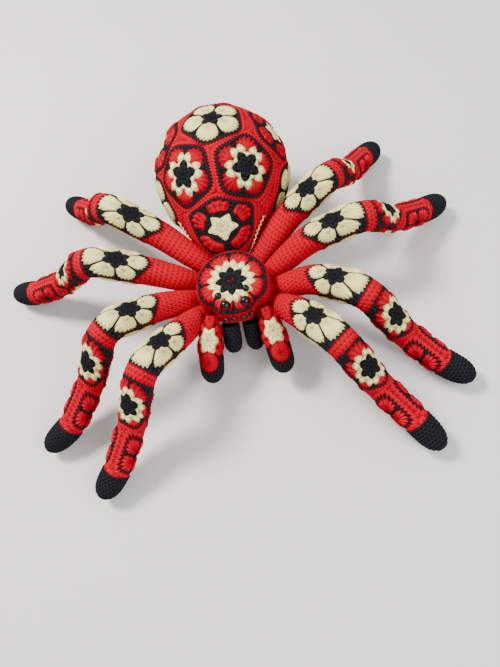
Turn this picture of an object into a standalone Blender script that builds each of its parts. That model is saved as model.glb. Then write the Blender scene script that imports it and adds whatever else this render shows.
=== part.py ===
# Crocheted, stuffed tarantula: eight legs, two palps and two fangs sewn round
# a head cushion with eight bead eyes, and a ball abdomen sewn on behind.
# The animal faces -Y, its left side is +X, and it stands on Z = 0.
# Lengths in this script are millimetres, scaled to metres as they are built.

import bpy
import bmesh
from math import atan2, cos, degrees, exp, pi, radians, sin, sqrt
from mathutils import Vector
from mathutils.bvhtree import BVHTree

MM = 0.001
GAP = 0.3                    # clearance between neighbouring sewn pieces

ABDOMEN_CENTRE = Vector((0.3, 133.2, 67.0))
ABDOMEN_RADIUS = 70.5
ABDOMEN_FLATNESS = 0.05      # how far each panel's middle sinks below a sphere
ABDOMEN_TILT = 56.6          # degrees above level of the edge between the two upper panels
PANEL_CORNER_COSINE = 0.7947  # of the angle between a panel's middle and its corner
NECK_REACH = 26.6            # how far the abdomen is drawn out to meet the head
NECK_SPREAD = 23.0           # degrees
NECK_DROP = 7.0              # degrees below level

HEAD_MIDDLE_Y = 0.8
HEAD_HALF_WIDTH = 35.2
HEAD_HALF_LENGTH = 35.6
HEAD_SQUARENESS = 2.1
HEAD_PINCH = 5.0             # how far the outline is drawn in at each side of the face
HEAD_PINCH_ANGLE = -48.0     # degrees below the side, seen from above
HEAD_PINCH_SPREAD = 13.0     # degrees
HEAD_BOTTOM = 33.0
HEAD_TOP = 80.5
HEAD_SIDES = 30
# Level by level: height, share of the full outline, and how far the front is
# set back for the fangs.
HEAD_LEVELS = (
    (HEAD_BOTTOM, 0.62, 4.0), (HEAD_BOTTOM + 2.5, 0.82, 8.0),
    (HEAD_BOTTOM + 7.0, 0.96, 12.5), (HEAD_BOTTOM + 11.0, 1.0, 13.5),
    (55.5, 1.0, 13.5), (58.5, 1.0, 1.0), (66.0, 1.005, 0.0),
    (HEAD_TOP - 7.5, 1.0, 0.0), (HEAD_TOP - 3.0, 0.95, 0.0),
    (HEAD_TOP - 0.7, 0.84, 0.0), (HEAD_TOP, 0.55, 0.0),
)
HEAD_CROWN = 0.6             # how far the middle of the top stands above its last ring

LEG_SIDES_SETTING = 4        # gives twelve-sided tubes
HIP_HEIGHT = 49.0
HIP_LENGTH = 6.0
HIP_ANGLES = (-23.5, 2.5, 29.0, 56.0)   # round the head, front pair to back pair
RING_SPACING = 13.0
CAP_DEPTH = 3.2              # from a joint to the second ring on each side of it

# Bend points of each leg: end of the thigh, knee, ankle and toe.
LEGS = {
    "left_front": ((56, -36, 68), (86, -78, 92), (144, -137, 23), (164, -162, 11)),
    "left_second": ((74, -6, 69), (115, -38, 92), (178, -86, 22), (206, -103, 11)),
    "left_third": ((75, 37, 68), (127, 40, 90), (199, 79, 23), (226, 95, 11)),
    "left_back": ((62, 70, 67), (106, 93, 89), (152, 161, 23), (172, 183, 11)),
    "right_front": ((-53, -39, 67), (-83, -78, 93), (-129, -146, 24), (-149, -167, 11)),
    "right_second": ((-74, -9, 68), (-118, -34, 92), (-175, -98, 23), (-205, -115, 11)),
    "right_third": ((-79, 31, 68), (-136, 42, 90), (-222, 57, 23), (-253, 68, 11)),
    "right_back": ((-66, 70, 68), (-118, 100, 94), (-171, 159, 23), (-195, 182, 11)),
}
HIP_BEND = 4.0               # length of route rounded off at each side of a bend
THIGH_BEND = 10.0
KNEE_BEND = 20.0
CALF_BEND = 18.0
ANKLE_BEND = 11.0
CALF_SHARE = 0.48            # the calf point, between knee and ankle
CALF_SAG = 12.0              # how far the calf hangs below a straight line
SHIN_SHARE = 0.6             # share of knee-to-ankle that the shin flower takes

# Leg thickness: pairs of (share of the section, radius).
THIGH_RADII = ((0.0, 7.8), (0.2, 9.8), (0.55, 12.6), (1.0, 14.7))
KNEE_RADII = ((0.0, 14.6), (0.5, 15.2), (1.0, 14.8))
SHIN_RADII = ((0.0, 14.8), (1.0, 13.6))
ANKLE_RADII = ((0.0, 13.6), (1.0, 13.0))
FOOT_RADII = ((0.0, 13.0), (0.55, 12.4), (0.8, 10.6), (0.93, 7.6), (1.0, 4.4))

PALP_ROUTE = ((25.2, -27.2, 62.0), (30.4, -47.5, 51.0), (35.2, -74.5, 21.0))
PALP_BEND = 12.0
PALP_BLACK_SHARE = 0.76
PALP_RADII = ((0.0, 6.6), (0.16, 9.2), (0.4, 12.0), (0.62, 12.8), (0.76, 12.4))
PALP_TIP_RADII = ((0.0, 12.4), (0.4, 11.7), (0.72, 9.3), (0.9, 6.4), (1.0, 3.8))
FANG_ROUTE = ((10.2, -29.4, 50.0), (10.5, -39.0, 39.5), (11.0, -49.0, 27.5))
FANG_BEND = 8.0
FANG_RADII = ((0.0, 9.3), (0.25, 9.7), (0.5, 9.8), (0.75, 9.7), (0.92, 8.2), (1.0, 5.0))
FACE_X = 1.2                 # the face sits a little left of the middle
EYE_CUT = 0.35               # how far behind its middle a bead is flat, in radii

# Bead eyes: a point close above the seat, and the radius.
EYES = {
    "eye_big_left": ((11.0, -24.6, 81.0), 4.7),
    "eye_big_right": ((-7.0, -26.0, 81.0), 4.7),
    "eye_middle_left": ((12.8, -11.9, 82.5), 3.3),
    "eye_middle_right": ((-12.9, -15.3, 82.0), 3.3),
    "eye_small_left_outer": ((14.6, -32.4, 70.0), 2.6),
    "eye_small_left_inner": ((7.4, -35.0, 71.0), 2.6),
    "eye_small_right_inner": ((-1.3, -35.6, 71.5), 2.6),
    "eye_small_right_outer": ((-8.7, -35.0, 70.5), 2.6),
}

RED = (0.62, 0.012, 0.03, 1.0)
CREAM = (0.86, 0.78, 0.55, 1.0)
BLACK = (0.012, 0.011, 0.013, 1.0)
BEAD = (0.02, 0.012, 0.008, 1.0)


def clear_scene():
    for item in list(bpy.data.objects):
        bpy.data.objects.remove(item, do_unlink=True)


def make_material(name, colour, roughness):
    material = bpy.data.materials.new(name)
    material.use_nodes = True
    shader = material.node_tree.nodes["Principled BSDF"]
    shader.inputs["Base Color"].default_value = colour
    shader.inputs["Roughness"].default_value = roughness
    shader.inputs["Metallic"].default_value = 0.0
    return material


def add_object(name, data, material, collection):
    item = bpy.data.objects.new(name, data)
    data.materials.append(material)
    collection.objects.link(item)
    return item


def value_at(pairs, share):
    # The value at a share, on straight lines between (share, value) pairs.
    for (start, low), (end, high) in zip(pairs, pairs[1:]):
        if share <= end:
            step = max(0.0, (share - start) / (end - start))
            return low + (high - low) * step
    return pairs[-1][1]


def rounded_route(corners, bends):
    # The corners joined by straight runs, each inner corner a parabola whose
    # arms are as long as its bend, sampled finely.
    route = [corners[0]]
    for before, corner, after, bend in zip(corners, corners[1:], corners[2:], bends):
        start = corner + (before - corner).normalized() * bend
        end = corner + (after - corner).normalized() * bend
        for step in range(17):
            share = step / 16
            route.append(start * (1 - share) ** 2
                         + corner * 2 * share * (1 - share)
                         + end * share ** 2)
    route.append(corners[-1])
    return route


def route_lengths(route):
    lengths = [0.0]
    for here, there in zip(route, route[1:]):
        lengths.append(lengths[-1] + (there - here).length)
    return lengths


def point_at(route, lengths, distance):
    for index in range(1, len(route)):
        if distance <= lengths[index]:
            run = lengths[index] - lengths[index - 1]
            share = (distance - lengths[index - 1]) / run
            return route[index - 1].lerp(route[index], share)
    return route[-1]


def heading_at(route, lengths, distance):
    before = point_at(route, lengths, max(0.0, distance - 1.0))
    after = point_at(route, lengths, min(lengths[-1], distance + 1.0))
    return (after - before).normalized()


def end_points(route, lengths, distance, inward):
    # The outermost ring of a section and one close behind it, both on the
    # tangent, so that a cap is square to the route and faces its neighbour.
    place = point_at(route, lengths, distance)
    step = heading_at(route, lengths, distance) * inward
    return [place + step * GAP / 2, place + step * CAP_DEPTH]


def section_points(route, span):
    # Even rings along a section that has a neighbour at both ends.
    lengths = route_lengths(route)
    start, end = span
    count = max(2, round((end - start) / RING_SPACING))
    shares = [step / count for step in range(1, count)]
    places = [point_at(route, lengths, start + (end - start) * share) for share in shares]
    first = end_points(route, lengths, start, 1)
    last = end_points(route, lengths, end, -1)
    return list(zip([0.0, 0.0] + shares + [1.0, 1.0], first + places + last[::-1]))


def tail_points(route, span, radii):
    # Rings for a section with a rounded end: one at each of its radii.
    lengths = route_lengths(route)
    start, end = span
    shares = [share for share, _ in radii[1:]]
    places = [point_at(route, lengths, start + (end - start) * share) for share in shares]
    return list(zip([0.0, 0.0] + shares, end_points(route, lengths, start, 1) + places))


def tube_curve(name, points, radii):
    # A tube through the points, whose radius follows the radii pairs.
    curve = bpy.data.curves.new(name, "CURVE")
    curve.dimensions = "3D"
    curve.bevel_depth = MM
    curve.bevel_resolution = LEG_SIDES_SETTING
    curve.use_fill_caps = True
    spline = curve.splines.new("POLY")
    spline.points.add(len(points) - 1)
    for (share, place), point in zip(points, spline.points):
        point.co = (*(place * MM), 1.0)
        point.radius = value_at(radii, share)
    return curve


def mesh_from_curve(curve, name):
    # A welded mesh of a capped curve.
    holder = bpy.data.objects.new(name, curve)
    bpy.context.scene.collection.objects.link(holder)
    evaluated = holder.evaluated_get(bpy.context.evaluated_depsgraph_get())
    mesh = bpy.data.meshes.new_from_object(evaluated)
    mesh.name = name
    bpy.data.objects.remove(holder)
    body = bmesh.new()
    body.from_mesh(mesh)
    bmesh.ops.remove_doubles(body, verts=body.verts, dist=0.00001)
    body.to_mesh(mesh)
    body.free()
    return mesh


def cut_at_floor(mesh):
    # Everything below the ground goes, and the cut is closed with a flat face.
    body = bmesh.new()
    body.from_mesh(mesh)
    geometry = body.verts[:] + body.edges[:] + body.faces[:]
    cut = bmesh.ops.bisect_plane(body, geom=geometry, dist=0.000001, plane_co=(0, 0, 0),
                                 plane_no=(0, 0, 1), clear_inner=True)
    edges = [part for part in cut["geom_cut"] if isinstance(part, bmesh.types.BMEdge)]
    bmesh.ops.edgeloop_fill(body, edges=edges)
    bmesh.ops.recalc_face_normals(body, faces=body.faces)
    body.to_mesh(mesh)
    body.free()


def head_outline_radius(angle):
    # Distance from the head's middle axis to its wall: a round outline, drawn in
    # at each side of the face.
    across = abs(cos(angle)) / HEAD_HALF_WIDTH
    along = abs(sin(angle)) / HEAD_HALF_LENGTH
    full = (across ** HEAD_SQUARENESS + along ** HEAD_SQUARENESS) ** (-1 / HEAD_SQUARENESS)
    from_pinch = degrees(atan2(sin(angle), abs(cos(angle)))) - HEAD_PINCH_ANGLE
    return full - HEAD_PINCH * exp(-(from_pinch / HEAD_PINCH_SPREAD) ** 2)


def hip_points(angle_degrees, side):
    # Where a leg meets the head's wall, and a point straight out from there.
    angle = radians(angle_degrees)
    radius = head_outline_radius(angle)
    x = radius * cos(angle)
    y = radius * sin(angle)
    power = HEAD_SQUARENESS - 1
    slope_x = (x / HEAD_HALF_WIDTH) ** power / HEAD_HALF_WIDTH
    slope_y = (abs(y) / HEAD_HALF_LENGTH) ** power / HEAD_HALF_LENGTH
    outward = Vector((side * slope_x, slope_y if y > 0 else -slope_y, 0.0)).normalized()
    root = Vector((side * x, HEAD_MIDDLE_Y + y, HIP_HEIGHT)) + outward * GAP * 2
    return root, root + outward * HIP_LENGTH


def build_leg(name, hip_angle, bends, materials, collection):
    side = 1 if name.startswith("left") else -1
    root, hip = hip_points(hip_angle, side)
    thigh, knee, ankle, toe = (Vector(point) for point in bends)
    calf = knee.lerp(ankle, CALF_SHARE) - Vector((0.0, 0.0, CALF_SAG))
    corners = [root, hip, thigh, knee, calf, ankle, toe]
    route = rounded_route(corners, (HIP_BEND, THIGH_BEND, KNEE_BEND, CALF_BEND, ANKLE_BEND))
    total = route_lengths(route)[-1]
    straight = route_lengths(corners)
    scale = total / straight[-1]
    marks = [0.0, straight[2] * scale, straight[3] * scale]
    marks.append((straight[3] + (straight[5] - straight[3]) * SHIN_SHARE) * scale)
    marks += [straight[5] * scale, total]
    sections = (("thigh", THIGH_RADII, "red_yarn"), ("knee", KNEE_RADII, "cream_yarn"),
                ("shin", SHIN_RADII, "red_yarn"), ("ankle", ANKLE_RADII, "red_yarn"))
    for index, (label, radii, slot) in enumerate(sections):
        full_name = f"leg_{name}_{label}"
        points = section_points(route, (marks[index], marks[index + 1]))
        curve = tube_curve(full_name, points, radii)
        add_object(full_name, curve, materials[slot], collection)
    full_name = f"leg_{name}_foot"
    points = tail_points(route, (marks[4], marks[5]), FOOT_RADII)
    curve = tube_curve(full_name, points, FOOT_RADII)
    foot = mesh_from_curve(curve, full_name)
    cut_at_floor(foot)
    foot.shade_smooth()
    add_object(full_name, foot, materials["black_yarn"], collection)


def build_palp(side_name, side, materials, collection):
    corners = [Vector((x * side + FACE_X, y, z)) for x, y, z in PALP_ROUTE]
    route = rounded_route(corners, (PALP_BEND,))
    total = route_lengths(route)[-1]
    join = total * PALP_BLACK_SHARE
    name = f"palp_{side_name}"
    radii = tuple((share / PALP_BLACK_SHARE, radius) for share, radius in PALP_RADII)
    curve = tube_curve(name, section_points(route, (0.0, join)), radii)
    add_object(name, curve, materials["red_yarn"], collection)
    name += "_tip"
    curve = tube_curve(name, tail_points(route, (join, total), PALP_TIP_RADII), PALP_TIP_RADII)
    add_object(name, curve, materials["black_yarn"], collection)


def build_fang(side_name, side, materials, collection):
    corners = [Vector((x * side + FACE_X, y, z)) for x, y, z in FANG_ROUTE]
    route = rounded_route(corners, (FANG_BEND,))
    total = route_lengths(route)[-1]
    name = f"fang_{side_name}"
    curve = tube_curve(name, tail_points(route, (0.0, total), FANG_RADII), FANG_RADII)
    add_object(name, curve, materials["black_yarn"], collection)


def panel_normals():
    # Middles of the twelve five-sided panels, turned so that an edge lies in
    # the mirror plane, facing forwards and up.
    golden = (1 + sqrt(5)) / 2
    tilt = radians(ABDOMEN_TILT)
    up = Vector((0.0, -cos(tilt), sin(tilt)))
    across = Vector((1.0, 0.0, 0.0))
    along = across.cross(up)
    normals = []
    for first in (-1, 1):
        for second in (-golden, golden):
            for frame in ((across, up, along), (up, along, across), (along, across, up)):
                normals.append((frame[0] * first + frame[1] * second).normalized())
    return normals


def abdomen_radius(direction, normals, neck):
    # A ball whose twelve panels are slightly flat, drawn out towards the head.
    nearest = max(direction.dot(normal) for normal in normals)
    inside = (nearest - PANEL_CORNER_COSINE) / (1 - PANEL_CORNER_COSINE)
    flat = ABDOMEN_FLATNESS * max(0.0, inside)
    away = direction.angle(neck) / radians(NECK_SPREAD)
    return ABDOMEN_RADIUS * (1 - flat) + NECK_REACH * exp(-away * away)


def build_abdomen(materials, collection):
    normals = panel_normals()
    drop = radians(NECK_DROP)
    neck = Vector((0.0, -cos(drop), -sin(drop)))
    mesh = bpy.data.meshes.new("abdomen")
    body = bmesh.new()
    bmesh.ops.create_icosphere(body, subdivisions=4, radius=1.0)
    pole_to_neck = Vector((0.0, 0.0, -1.0)).rotation_difference(neck)
    for vertex in body.verts:
        direction = (pole_to_neck @ vertex.co).normalized()
        radius = abdomen_radius(direction, normals, neck)
        vertex.co = (ABDOMEN_CENTRE + direction * radius) * MM
    body.to_mesh(mesh)
    body.free()
    cut_at_floor(mesh)
    mesh.shade_smooth()
    add_object("abdomen", mesh, materials["red_yarn"], collection)


def head_point(height, share, setback, angle):
    radius = head_outline_radius(angle) * share
    x = radius * cos(angle)
    y = HEAD_MIDDLE_Y + radius * sin(angle)
    # The front of the lower levels is pressed flat behind the fangs.
    front_limit = -(HEAD_HALF_LENGTH - HEAD_MIDDLE_Y) + setback
    if setback and y < front_limit:
        y = front_limit
    return Vector((x, y, height)) * MM


def build_head(materials, collection):
    # A loft of unlike outlines: set back under the face, full at the hips, and
    # crowned on top.
    mesh = bpy.data.meshes.new("head")
    body = bmesh.new()
    rings = []
    for height, share, setback in HEAD_LEVELS:
        ring = [body.verts.new(head_point(height, share, setback, 2 * pi * step / HEAD_SIDES))
                for step in range(HEAD_SIDES)]
        rings.append(ring)
    for lower, upper in zip(rings, rings[1:]):
        for step in range(HEAD_SIDES):
            following = (step + 1) % HEAD_SIDES
            body.faces.new((lower[step], lower[following], upper[following], upper[step]))
    body.faces.new(list(reversed(rings[0])))
    crown = body.verts.new(Vector((0.0, HEAD_MIDDLE_Y, HEAD_TOP + HEAD_CROWN)) * MM)
    for step in range(HEAD_SIDES):
        body.faces.new((rings[-1][step], rings[-1][(step + 1) % HEAD_SIDES], crown))
    body.normal_update()
    body.to_mesh(mesh)
    surface = BVHTree.FromBMesh(body)
    body.free()
    mesh.shade_smooth()
    add_object("head", mesh, materials["red_yarn"], collection)
    return surface


def build_eye(name, place, radius, head_surface, materials, collection):
    # A domed bead, flat at the back, square to the part of the head it sits on.
    mesh = bpy.data.meshes.new(name)
    body = bmesh.new()
    bmesh.ops.create_uvsphere(body, u_segments=10, v_segments=6, radius=radius * MM)
    geometry = body.verts[:] + body.edges[:] + body.faces[:]
    back = -EYE_CUT * radius * MM
    cut = bmesh.ops.bisect_plane(body, geom=geometry, plane_co=(0, 0, back),
                                 plane_no=(0, 0, 1), clear_inner=True)
    edges = [part for part in cut["geom_cut"] if isinstance(part, bmesh.types.BMEdge)]
    bmesh.ops.edgeloop_fill(body, edges=edges)
    bmesh.ops.recalc_face_normals(body, faces=body.faces)
    body.to_mesh(mesh)
    body.free()
    mesh.shade_smooth()
    item = add_object(name, mesh, materials["eye_bead"], collection)
    seat, outward, _, _ = head_surface.find_nearest(Vector(place) * MM)
    item.rotation_euler = outward.to_track_quat("Z", "Y").to_euler()
    item.location = seat + outward * (EYE_CUT * radius + GAP) * MM


def centre_on_ground(collection):
    # The origin goes to the middle of the footprint, on the ground.
    graph = bpy.context.evaluated_depsgraph_get()
    corners = []
    for item in collection.objects:
        evaluated = item.evaluated_get(graph)
        shape = evaluated.to_mesh()
        corners += [item.matrix_world @ vertex.co for vertex in shape.vertices]
        evaluated.to_mesh_clear()
    middle_x = (min(c.x for c in corners) + max(c.x for c in corners)) / 2
    middle_y = (min(c.y for c in corners) + max(c.y for c in corners)) / 2
    for item in collection.objects:
        item.location -= Vector((middle_x, middle_y, 0.0))


def main():
    clear_scene()
    collection = bpy.data.collections.new("crocheted_tarantula")
    bpy.context.scene.collection.children.link(collection)
    materials = {
        "red_yarn": make_material("red_yarn", RED, 0.9),
        "cream_yarn": make_material("cream_yarn", CREAM, 0.9),
        "black_yarn": make_material("black_yarn", BLACK, 0.85),
        "eye_bead": make_material("eye_bead", BEAD, 0.12),
    }
    build_abdomen(materials, collection)
    head_surface = build_head(materials, collection)
    hip_angles = HIP_ANGLES * 2
    for (name, bends), hip_angle in zip(LEGS.items(), hip_angles):
        build_leg(name, hip_angle, bends, materials, collection)
    for side_name, side in (("left", 1), ("right", -1)):
        build_palp(side_name, side, materials, collection)
        build_fang(side_name, side, materials, collection)
    for name, (place, radius) in EYES.items():
        build_eye(name, place, radius, head_surface, materials, collection)
    bpy.context.view_layer.update()
    centre_on_ground(collection)


main()
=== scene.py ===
# The crocheted tarantula's looks: every stuffed piece is a fine grid of points,
# raised stitch by stitch, and dyed by the flower motif that it is worked in.
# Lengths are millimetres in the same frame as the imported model, until they
# reach a mesh.
import bpy
import numpy as np
from mathutils import Matrix, Vector


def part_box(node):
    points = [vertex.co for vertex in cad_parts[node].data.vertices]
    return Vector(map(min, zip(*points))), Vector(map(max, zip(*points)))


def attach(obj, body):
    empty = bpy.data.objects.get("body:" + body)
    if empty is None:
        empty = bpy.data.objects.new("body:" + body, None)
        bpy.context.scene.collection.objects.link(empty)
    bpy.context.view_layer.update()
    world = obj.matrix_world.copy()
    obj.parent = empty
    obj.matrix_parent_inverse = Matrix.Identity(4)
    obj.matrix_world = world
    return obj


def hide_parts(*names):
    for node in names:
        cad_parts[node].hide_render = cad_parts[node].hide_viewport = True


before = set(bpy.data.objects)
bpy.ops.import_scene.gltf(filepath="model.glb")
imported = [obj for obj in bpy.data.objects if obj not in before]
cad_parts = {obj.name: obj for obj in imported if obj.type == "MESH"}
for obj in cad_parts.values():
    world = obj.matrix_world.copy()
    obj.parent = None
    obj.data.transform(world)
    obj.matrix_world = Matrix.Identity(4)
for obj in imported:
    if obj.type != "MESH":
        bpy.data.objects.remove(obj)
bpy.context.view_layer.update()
print("frame loaded")

metre = 0.001
fullTurn = 2 * np.pi
quarterTurn = np.pi / 2
diagonal = 0.7071              # cosine of an eighth of a turn

common = {
    "gridStep": 0.72,          # spacing of the fine surface's points
    "rowHeight": 4.0,
    "stitchRise": 0.42,        # how far one stitch stands proud
    "sunk": 0.9,               # the yarn's mean surface starts this far under the solid
    "footprint": 0.35,         # how far pieces stay above the floor
    "farOff": 9.0,             # a colour field's size where its edge is nowhere near
    "pitShade": 0.72,          # painted shade: brightness between stitches, and what their tops add
    "topShadeLift": 0.28,
    "edgeShade": 0.25,         # painted shade along the edge of a zone: how much darker, and its width
    "edgeShadeWidth": 0.5,
    "smoothing": 12,           # passes that round a tube's route
}

yarnColours = {
    "red": (0.53, 0.0, 0.015, 1.0),
    "cream": (1.0, 0.88, 0.36, 1.0),
    "black": (0.017, 0.018, 0.022, 1.0),
}

# Where the head's middle is, which the routes below are measured from.
headLow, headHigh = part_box("head")
headMiddleY = 0.8
origin = np.array([
    (headLow.x + headHigh.x) / 2 / metre,
    (headLow.y + headHigh.y) / 2 / metre - headMiddleY,
    0.0,
])


# Shader helpers

class Wire:
    # A shader value. Arithmetic on it adds Math nodes.

    def __init__(self, shader, socket):
        self.shader = shader
        self.socket = socket

    def math(self, operation, *values):
        return self.shader.node("ShaderNodeMath", {"operation": operation}, dict(enumerate(values)))

    def __add__(self, other): return self.math("ADD", self, other)
    def __radd__(self, other): return self.math("ADD", other, self)
    def __sub__(self, other): return self.math("SUBTRACT", self, other)
    def __rsub__(self, other): return self.math("SUBTRACT", other, self)
    def __mul__(self, other): return self.math("MULTIPLY", self, other)
    def __truediv__(self, other): return self.math("DIVIDE", self, other)
    def __pow__(self, other): return self.math("POWER", self, other)
    def __abs__(self): return self.math("ABSOLUTE", self)


class Shader:
    # A new Principled material, and the nodes added to it.

    def __init__(self, name, settings):
        self.material = bpy.data.materials.new(name)
        self.material.use_nodes = True
        self.tree = self.material.node_tree
        self.surface = self.tree.nodes["Principled BSDF"]
        for socket, value in settings.items():
            self.surface.inputs[socket].default_value = value

    def node(self, kind, settings, inputs, output=0):
        made = self.tree.nodes.new(kind)
        for key, value in settings.items():
            setattr(made, key, value)
        for key, value in inputs.items():
            if isinstance(value, Wire):
                self.tree.links.new(value.socket, made.inputs[key])
            else:
                made.inputs[key].default_value = value
        return Wire(self, made.outputs[output])

    def feed(self, **sockets):
        for name, wire in sockets.items():
            self.tree.links.new(wire.socket, self.surface.inputs[name.replace("_", " ")])

    def attribute(self, name):
        vector = self.node("ShaderNodeAttribute", {"attribute_name": name}, {}, "Vector")
        split = self.node("ShaderNodeSeparateXYZ", {}, {0: vector})
        nodes = split.socket.node
        return [Wire(self, nodes.outputs[axis]) for axis in "XYZ"]

    def position(self):
        return self.node("ShaderNodeTexCoord", {}, {}, "Object")

    def noise(self, scale, detail=2.0):
        inputs = {"Vector": self.position(), "Scale": scale, "Detail": detail}
        return self.node("ShaderNodeTexNoise", {}, inputs)

    def step(self, value, low, high):
        ranged = {"Value": value, "From Min": low, "From Max": high}
        return self.node("ShaderNodeMapRange", {"interpolation_type": "SMOOTHSTEP"}, ranged)

    def blend(self, share, first, second, mode="MIX"):
        # Inputs 6 and 7 of a Mix node are its two colours, and output 2 their mix.
        mixed = {0: share, 6: first, 7: second}
        return self.node("ShaderNodeMix", {"data_type": "RGBA", "blend_type": mode}, mixed, 2)


# Materials

yarnLook = {
    "specular": 0.03,
    "strandWidth": 0.2,        # half width of a strand, in stitches
    "strandFoot": 0.11,        # how far a strand stands from the middle at its foot
    "strandLean": 0.27,        # and how far it leans outwards from there
    "strandTaper": 0.35,       # the lower, the blunter its ends
    "plyTurns": 3.5,           # plies that cross one strand
    "plySlant": 4.0,
    "plyRise": 0.09,
    "strandRise": 0.86,
    "fibreScale": 1900.0,
    "fibreRise": 0.34,
    "fibreShade": (0.93, 0.14),        # brightness at 0, and what the noise adds
    "patchScale": 55.0,        # broad patches of a slightly other shade
    "patchShade": (0.9, 0.2),
    "roughness": (0.74, 0.2),
    "edge": 0.22,              # softness of a colour change, in millimetres
    "creamUnderlap": 0.35,     # cream runs under black by this much
    "creaseShade": 0.46,            # painted shade between strands, what black adds and cream takes
    "blackCreaseShade": 0.3,
    "creamCreaseShade": 0.06,
    "bump": 0.00045,
    "bumpStrength": 0.85,
}


def yarnMaterial(name, look):
    # A V of two strands in each stitch, twisted plies along each strand, and fibre noise, with painted
    # shade in the creases between strands, deeper on black and lighter on cream. One attribute holds the
    # black and cream fields and a painted shade for the pits between stitches and the edges of zones, and
    # attribute loops the place within the stitches.
    shader = Shader(name, {"Specular IOR Level": look["specular"]})
    black, cream, paintedShade = shader.attribute("dyeAndShade")
    across, along, _ = shader.attribute("loops")
    shifted = across + along.math("FLOOR", along) * 0.5
    sideways = abs(shifted.math("FRACT", shifted) - 0.5)
    upward = along.math("FRACT", along)
    line = upward * look["strandLean"] + look["strandFoot"]
    near = abs(sideways - line)
    far = abs((1.0 - sideways) - line)
    offCentre = near.math("MINIMUM", near, far) / look["strandWidth"]
    inside = 1.0 - offCentre * offCentre
    roundness = inside.math("MAXIMUM", inside, 0.0) ** 0.5
    strand = roundness * (upward * (1.0 - upward) * 4.0) ** look["strandTaper"]
    twist = (upward * look["plyTurns"] + sideways * look["plySlant"]) * fullTurn
    ply = twist.math("SINE", twist)
    fibre = shader.noise(look["fibreScale"], 3.0)
    patch = shader.noise(look["patchScale"], 1.0)
    height = strand * (look["strandRise"] + ply * look["plyRise"]) + (fibre - 0.5) * look["fibreRise"]
    relief = {"Strength": look["bumpStrength"], "Distance": look["bump"], "Height": height}
    bump = shader.node("ShaderNodeBump", {}, relief)
    edge, underlap = look["edge"], look["creamUnderlap"]
    creamMask = shader.step(cream, -underlap - edge, -underlap + edge)
    blackMask = shader.step(black, -edge, edge)
    colour = shader.blend(creamMask, yarnColours["red"], yarnColours["cream"])
    colour = shader.blend(blackMask, colour, yarnColours["black"])
    # Painted shade in the creases between strands: deeper on black, lighter on cream.
    creaseShadeAmount = look["creaseShade"] + blackMask * look["blackCreaseShade"] - creamMask * look["creamCreaseShade"]
    paintedCreases = (1.0 - strand) * creaseShadeAmount
    patchBase, patchGain = look["patchShade"]
    fibreBase, fibreGain = look["fibreShade"]
    # Painted shade of creases, stitch pits and zone edges, times the random tone of patches and fibres.
    shade = (1.0 - paintedCreases) * (patchBase + patch * patchGain) * (fibreBase + fibre * fibreGain) * paintedShade
    grey = shader.node("ShaderNodeCombineXYZ", {}, {0: shade, 1: shade, 2: shade})
    colour = shader.blend(1.0, colour, grey, "MULTIPLY")
    smoothest, rougher = look["roughness"]
    shader.feed(Base_Color=colour, Roughness=smoothest + fibre * rougher, Normal=bump)
    return shader.material


beadLook = {
    "specular": 0.3,
    "dark": (0.002, 0.0008, 0.0006, 1.0),
    "light": (0.006, 0.002, 0.0014, 1.0),
    "swirlScale": 420.0,
    "scratchScale": 2600.0,
    "roughness": (0.02, 0.04),
}


def beadMaterial(name, look):
    # Polished dark plastic with faint swirls and hairline scratches.
    shader = Shader(name, {"Specular IOR Level": look["specular"]})
    swirl = shader.noise(look["swirlScale"])
    scratch = shader.noise(look["scratchScale"], 1.0)
    colour = shader.blend(swirl, look["dark"], look["light"])
    smoothest, rougher = look["roughness"]
    shader.feed(Base_Color=colour, Roughness=smoothest + scratch * rougher)
    return shader.material


floorLook = {
    "specular": 0.2,
    "dark": (0.56, 0.55, 0.535, 1.0),
    "light": (0.60, 0.59, 0.575, 1.0),
    "cloudScale": 3.0,
    "roughness": (0.8, 0.1),
}


def floorMaterial(name, look):
    # Pale matt floor with faint clouds.
    shader = Shader(name, {"Specular IOR Level": look["specular"]})
    cloud = shader.noise(look["cloudScale"])
    colour = shader.blend(cloud, look["dark"], look["light"])
    smoothest, rougher = look["roughness"]
    shader.feed(Base_Color=colour, Roughness=smoothest + cloud * rougher)
    return shader.material


yarn = yarnMaterial("crocheted_yarn", yarnLook)
beadPlastic = beadMaterial("polished_bead", beadLook)
print("materials made")


# Mesh helpers

def meshFromArrays(name, points, quads, triangles, fields, sharp=None):
    # Points in millimetres; quads and triangles index them; fields are
    # per-point attributes of three numbers.
    mesh = bpy.data.meshes.new(name)
    corners = np.concatenate([quads.ravel(), triangles.ravel()]).astype(np.int32)
    starts = np.concatenate([np.arange(len(quads)) * 4, len(quads) * 4 + np.arange(len(triangles)) * 3])
    mesh.vertices.add(len(points))
    mesh.vertices.foreach_set("co", (points * metre).astype(np.float32).ravel())
    mesh.loops.add(len(corners))
    mesh.loops.foreach_set("vertex_index", corners)
    mesh.polygons.add(len(starts))
    mesh.polygons.foreach_set("loop_start", starts.astype(np.int32))
    mesh.update(calc_edges=True)
    for key, values in fields.items():
        attribute = mesh.attributes.new(key, "FLOAT_VECTOR", "POINT")
        attribute.data.foreach_set("vector", values.astype(np.float32).ravel())
    mesh.shade_smooth()
    if sharp is not None:
        ends = np.empty(len(mesh.edges) * 2, np.int32)
        mesh.edges.foreach_get("vertices", ends)
        marked = sharp[ends.reshape(-1, 2)].all(axis=1)
        edge = mesh.attributes.new("sharp_edge", "BOOLEAN", "EDGE")
        edge.data.foreach_set("value", marked)
    return mesh


def addPiece(name, mesh, material, nodes):
    piece = bpy.data.objects.new(name, mesh)
    mesh.materials.append(material)
    bpy.context.scene.collection.objects.link(piece)
    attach(piece, "root")
    if nodes:
        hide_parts(*nodes)


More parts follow.
